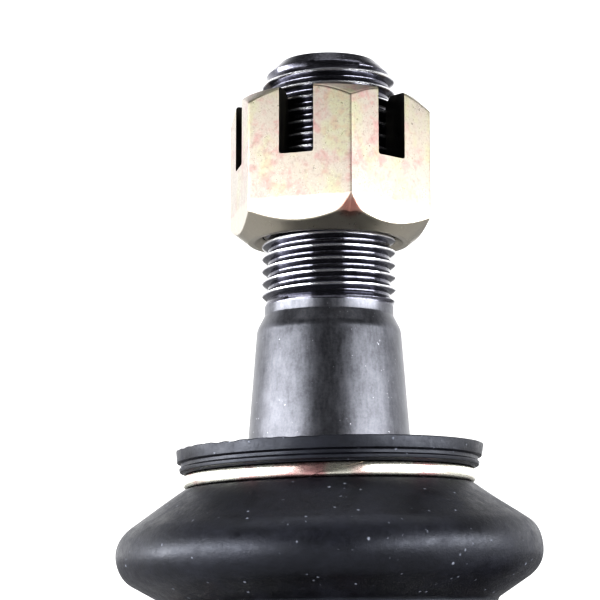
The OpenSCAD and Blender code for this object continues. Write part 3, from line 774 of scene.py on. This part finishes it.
def makeForging():
    h, low, steel = housing, housingLow.z, finishes["forged_steel"]
    socket = turned("forging", [(0, low), (h["bodyRadius"] - h["footEase"], low),
                                (h["bodyRadius"], low + h["footEaseHeight"]), (h["bodyRadius"], h["shoulder"]),
                                (h["stockRadius"], h["neckFoot"]), (h["stockRadius"], h["stockTop"]),
                                (0, h["stockTop"])], steel, h["segments"], closed=False)
    start, ease = h["shankStart"], h["shankEase"]
    shank = turned("shank", [(0, start), (h["shankRoot"], start), (h["shankRadius"], h["rootLength"]),
                             (h["shankRadius"], h["flatsTo"] - ease), (h["shankRadius"] - ease, h["flatsTo"]),
                             (0, h["flatsTo"])], steel, 128, closed=False)
    shank.rotation_euler = Euler((0, math.pi / 2, 0))
    shank.location = (0, 0, -shankDrop * mm)
    cut(socket, shank, operation="UNION")
    remesh = socket.modifiers.new("even", "REMESH")
    remesh.mode = "VOXEL"
    remesh.voxel_size = h["voxel"] * mm
    applyModifiers(socket)
    # the joint of shank and socket is eased into a forged fillet, and a faint flash line runs round the middle
    work = bmesh.new()
    work.from_mesh(socket.data)
    smooth(work, [v for v in work.verts if inJoint(*v.co)], h["blendPasses"])
    smooth(work, work.verts, 2)
    work.normal_update()
    for v in work.verts:
        ridge = max(0, 1 - abs(v.co.y) / (h["flashWidth"] * mm))
        v.co += v.normal * ridge * ridge * h["flash"] * mm
    work.to_mesh(socket.data)
    work.free()
    return socket


# what is machined away: round the neck, the bore with its seats, under the foot, and the two flats
def housingTools(material):
    h, low, high, wide = housing, housingLow.z, housingHigh.z, 30
    neck = turned("neckTool", [(wide, h["neckFoot"]), (h["neckRadius"], h["neckFoot"], 0.4),
                               (h["neckRadius"], h["flangeFrom"], 0.3), (h["flangeRadius"], h["flangeFrom"], 0.2),
                               (h["flangeRadius"], high, 0.5), (0, high), (0, high + 3), (wide, high + 3)],
                  material)
    bore = turned("boreTool", [(0, h["toolTop"]), (h["toolRadius"], h["toolTop"]), (h["mouthRadius"], high + 0.3),
                               *h["seats"], (h["boreRadius"], h["boreFrom"]),
                               (h["boreRadius"], h["plateFrom"]), (h["plateRadius"], h["plateFrom"]),
                               (h["plateRadius"], h["rollFrom"]), (h["rollRadius"], h["rollFrom"]),
                               (h["rollRadius"], low + 0.5), (h["rollRadius"] + 0.9, low - 1), (0, low - 1)],
                  material, closed=False)
    foot = turned("footTool", [(wide, low - 2), (wide, low + 1.6), (h["bodyRadius"] + 0.3, low + 1.6),
                               (h["bodyRadius"] - 1.25, low, 0.9), (h["rollRadius"], low + 0.15), (0, low + 0.15),
                               (0, low - 2)], material)
    start, end, half = h["flatsFrom"], h["flatsTo"] + 4, h["acrossFlats"] / 2
    outline = rounded([(start, half), (end, half), (end, 18), (start - 4, 18),
                       (start - 0.6, half + h["flatsRunOut"], 1.0)])
    flats = [bar("flatTool", [(x, side * y, z) for z in (-25, 12) for x, y in outline], material)
             for side in (-1, 1)]
    return neck, bore, foot, *flats


# the relief, thread and drilled end, turned on the shank's own axis
def shankScrew():
    h, segments, endX = housing, housing["segments"], housingHigh.x
    relief = [(0, h["flatsTo"] - 1.2), (h["reliefRadius"], h["flatsTo"] - 1.2),
              (h["reliefRadius"] + 0.05, h["flatsTo"] + 1), (h["threadRoot"] - 0.1, h["threadFrom"])]
    thread = threadRings(h["threadRadius"], h["threadRoot"], h["pitch"], h["threadFrom"], endX, shankEnvelope,
                         segments)
    end = [(h["threadRadius"] - h["endChamfer"], endX), (h["centreHole"], endX), (0.9, endX - 1.5), (0, endX - 1.9)]
    vertices, faces = joined(turnedRings(relief, segments, False), thread, turnedRings(end, segments, False))
    vertices = [(z, y, -x - shankDrop) for x, y, z in vertices]
    return meshPiece("shankScrew", vertices, faces, finishes["shank_thread"])


def makeHousing():
    h, machined = housing, finishes["black_oxide"]
    piece = makeForging()
    for name in ("black_oxide", "shank_thread"):
        piece.data.materials.append(finishes[name])
    cut(piece, *housingTools(machined))
    screw = shankScrew()
    merged = bmesh.new()
    merged.from_mesh(piece.data)
    count = len(merged.faces)
    merged.from_mesh(screw.data)
    merged.faces.ensure_lookup_table()
    threaded = piece.data.materials.find(finishes["shank_thread"].name)
    plain = piece.data.materials.find(machined.name)
    endRadius = (h["threadRadius"] - h["endChamfer"] - 0.01) * mm
    for face in merged.faces[count:]:  # only the end face of the screw is plain
        x, y, z = face.calc_center_median()
        atEnd = x > (housingHigh.x - 2) * mm and math.hypot(y, z + shankDrop * mm) < endRadius
        face.material_index = plain if atEnd else threaded
    merged.to_mesh(piece.data)
    merged.free()
    bpy.data.objects.remove(screw)
    tidyMesh(piece, 40)
    piece.name = "forgedHousing"
    place(piece, "housing", "socket_housing")
    print("housing made")


makeHousing()


# pressed plate that closes the socket, its grease nipple and the nipple's cap
closing = {"rib": 0.4, "ribInner": 8.7, "ribOuter": 14.4, "bossRadius": 6.5, "holeRadius": 3.05, "bossHeight": 2.5,
           "rim": 0.7, "sealGroove": 16.4}


def makePlate():
    c, low, high, outer, rim = closing, plateLow.z, plateHigh.z, plateHigh.x, closing["rim"]
    flat = low + c["bossHeight"]
    piece = turned("closingPlate", [
        (c["holeRadius"], high), (outer - 0.2, high, 0.2), (outer - 0.01, high - rim, 0.15),
        (c["sealGroove"], high - rim), (c["sealGroove"], flat + rim), (outer, flat + rim, 0.15),
        (outer, flat, 0.25), (c["ribOuter"] + 0.5, flat, 0.5), (c["ribOuter"], flat + c["rib"], 0.5),
        (c["ribInner"], flat + c["rib"], 0.5), (c["ribInner"] - 0.5, flat, 0.5),
        (c["bossRadius"] + 0.05, flat, 0.7), (c["bossRadius"], low, 0.5), (c["holeRadius"] + 0.4, low, 0.1),
        (c["holeRadius"], low + 0.4)], finishes["zinc_plate"])
    place(piece, "housing", "closing_plate")


nipple = {"flats": 8.0, "hexFrom": -27.5, "hexTo": -24.5, "cornerEase": 0.45, "mouth": 0.92, "stem": 3.0,
          "stemTip": 2.5, "channel": 0.8, "chamber": 1.3, "chamberTop": -26.41, "chamberFoot": -33.3,
          "head": [(2.35, nippleLow.z, 0.15), (3.25, -32.6, 0.3), (3.25, -31.78, 0.2), (2.25, -30.08, 0.5),
                   (2.25, -28.59, 0.5)]}


def hexRow(ease):  # the nipple's hexagon, its corners eased towards the round near both ends
    half = nipple["flats"] / 2
    limit = half / math.cos(math.radians(30)) - ease
    return lambda angle: min(limit, half / math.cos(math.remainder(angle, math.radians(60))))


def makeNipple():
    n, low, high = nipple, nippleLow.z, nippleHigh.z
    hexFrom, hexTo, ease = n["hexFrom"], n["hexTo"], n["cornerEase"]
    rows = rounded([(n["mouth"], low), *n["head"], (n["stem"] + 0.05, hexFrom)], closed=False)
    rows += [(hexRow(ease), hexFrom), (hexRow(0.2), hexFrom + 0.16), (hexRow(0.02), hexFrom + 0.4),
             (hexRow(0.02), hexTo - 0.4), (hexRow(0.2), hexTo - 0.12), (hexRow(ease), hexTo)]
    rows += [(n["stem"], hexTo), (n["stem"], high - 0.5), (n["stemTip"], high), (n["channel"], high),
             (n["channel"], n["chamberTop"]), (n["chamber"], n["chamberTop"]), (n["chamber"], n["chamberFoot"]),
             (n["mouth"], n["chamberFoot"])]
    piece = meshPiece("greaseNipple", *turnedRings(rows, 288), finishes["yellow_zinc"])
    place(piece, "housing", "grease_nipple")


cap = {"ribs": 28, "ribDepth": 0.16, "ribsFrom": -34.1, "ribsTo": -28.8, "crown": 3.6, "innerRadius": 3.4,
       "innerEnd": -34.5}


def makeCap():
    low, high, outer = capLow.z, capHigh.z, capHigh.x
    depth, start, end = cap["ribDepth"], cap["ribsFrom"], cap["ribsTo"]
    inner, innerEnd = cap["innerRadius"], cap["innerEnd"]

    def ribbed(angle):
        return outer - depth + depth * math.cos(cap["ribs"] * angle)

    rows = rounded([(0, low), (cap["crown"], low, 0.9), (outer - depth, low + 1.3, 0.8), (outer - depth, start)],
                   closed=False)
    rows += [(ribbed, start + 0.3), (ribbed, end - 0.3), (outer - depth, end), (outer, end + 0.25),
             (outer, high - 0.15), (outer - 0.15, high), (inner + 0.1, high), (inner, high - 0.1),
             (inner, innerEnd), (inner - 0.2, innerEnd - 0.2), (0, innerEnd - 0.2)]
    piece = meshPiece("nippleCap", *turnedRings(rows, 12 * cap["ribs"]), finishes["cap_plastic"])
    place(piece, "cap", "nipple_cap")


checkSpring = {"turns": 7, "wire": 0.3, "around": 24, "sides": 10}


# the coil under the nipple's ball; on the real nipple it shortens as the ball is pressed in, here it is built at
# one length
def makeCheckSpring():
    c = checkSpring
    half, sides, around = c["wire"] / 2, c["sides"], c["around"]
    low, high, coil = springLow.z + half, springHigh.z - half, springHigh.x - half
    last = c["turns"] * around
    vertices = []
    for i in range(last + 1):
        angle = tau * i / around
        z = low + (high - low) * i / last
        for k in range(sides):
            turn = tau * k / sides
            r = coil + half * math.cos(turn)
            vertices.append((r * math.cos(angle), r * math.sin(angle), z + half * math.sin(turn)))
    faces = gridFaces(last + 1, sides, closed=False)
    faces += [tuple(range(sides)), tuple(last * sides + k for k in range(sides))]
    piece = meshPiece("checkSpring", vertices, faces, finishes["spring_steel"])
    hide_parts("nipple_spring")
    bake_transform(piece)


makePlate()
makeNipple()
makeCap()
makeCheckSpring()
print("plate, nipple and cap made")


# carried-over nodes keep their shape and take a finish
for node in frame["record"]["subparts"]:
    part = frame["nodes"][node["node"]]
    part.data.materials.clear()
    part.data.materials.append(finishes[node["material_slot"]])
print("finishes given")


# floor, light and camera; each softbox is given by the directions it fills, in degrees round from the camera and
# up, and by its brightness
studio = {"sensor": 36, "lens": 120, "distance": 235.7, "side": -3.46, "height": 9.3, "lookUp": 9.2,
          "left": (-107, -33, -5, 12.5, 9.6), "right": (29, 92, -5, 12.5, 8.4), "top": (-35, 35, 70, 104, 1.3),
          "lampDistance": 0.6, "lampAim": 0.04, "backdrop": 1.05, "backBand": 1.6, "frontFill": 0.045,
          "zenithFill": 0.1, "floorReach": 3.0, "floorGap": 0.002, "floorDark": (0.68, 0.68, 0.68),
          "floorLight": (0.74, 0.74, 0.74)}


def softbox(name, fromAngle, toAngle, low, high, brightness):
    reach = studio["lampDistance"]
    width = 2 * reach * math.tan(math.radians(toAngle - fromAngle) / 2)
    height = 2 * reach * math.tan(math.radians(high - low) / 2)
    light = bpy.data.lights.new(name, "AREA")
    light.shape = "RECTANGLE"
    light.size, light.size_y = width, height
    light.energy = brightness * math.pi * width * height
    lamp = bpy.data.objects.new(name, light)
    bpy.context.scene.collection.objects.link(lamp)
    turn, rise = math.radians((fromAngle + toAngle) / 2), math.radians((low + high) / 2)
    away = Vector((math.sin(turn) * math.cos(rise), -math.cos(turn) * math.cos(rise), math.sin(rise)))
    lamp.location = Vector((0, 0, studio["lampAim"])) + away * reach
    lamp.rotation_euler = away.to_track_quat("Z", "Y").to_euler()


# the backdrop is white where the camera sees it; reflections see a bright band behind and little in front
def makeWorld():
    world = bpy.data.worlds.new("studio")
    bpy.context.scene.world = world
    world.use_nodes = True
    world.node_tree.nodes.clear()
    tree = Tree(world.node_tree, "Generated")
    x, y, z = tree.axes()
    band = tree.ramp(y, -0.1, 0.5) * tree.ramp(z, 0.82, 0.4) * tree.ramp(z, -0.6, -0.2)
    strength = studio["frontFill"] + band * studio["backBand"] + tree.ramp(z, 0.55, 0.95) * studio["zenithFill"]
    around = tree.node("ShaderNodeBackground", {}, {"Strength": strength})
    backdrop = tree.node("ShaderNodeBackground", {}, {"Color": (1, 1, 1, 1), "Strength": studio["backdrop"]})
    seen = tree.node("ShaderNodeLightPath", output="Is Camera Ray")
    both = tree.node("ShaderNodeMixShader", {}, {0: seen, 1: around, 2: backdrop})
    tree.node("ShaderNodeOutputWorld", {}, {0: both}, output=None)


def makeStudio():
    scene = bpy.context.scene
    camera = bpy.data.objects.new("camera", bpy.data.cameras.new("camera"))
    scene.collection.objects.link(camera)
    camera.data.sensor_width = studio["sensor"]
    camera.data.lens = studio["lens"]
    camera.data.clip_start = 0.01
    camera.location = (studio["side"] * mm, -studio["distance"] * mm, studio["height"] * mm)
    camera.rotation_euler = Euler((math.radians(90 + studio["lookUp"]), 0, 0))
    scene.camera = camera

    reach, level = studio["floorReach"], capLow.z * mm - studio["floorGap"]
    corners = [(-reach, -reach, level), (reach, -reach, level), (reach, reach, level), (-reach, reach, level)]
    data = bpy.data.meshes.new("floor")
    data.from_pydata(corners, [], [(0, 1, 2, 3)])
    floor = bpy.data.objects.new("floor", data)
    scene.collection.objects.link(floor)
    paper = Finish("paleFloor")
    drift = paper.noise(40, 2)
    tone = paper.mix(drift, studio["floorDark"], studio["floorLight"])
    paper.shade(Base_Color=tone, Roughness=0.85 + drift * 0.1)
    floor.data.materials.append(paper.material)
    for name in ("left", "right", "top"):
        softbox(name + "Softbox", *studio[name])
    makeWorld()
    scene.view_settings.view_transform = "Standard"
    scene.view_settings.look = "High Contrast"
    print("studio made")


makeStudio()
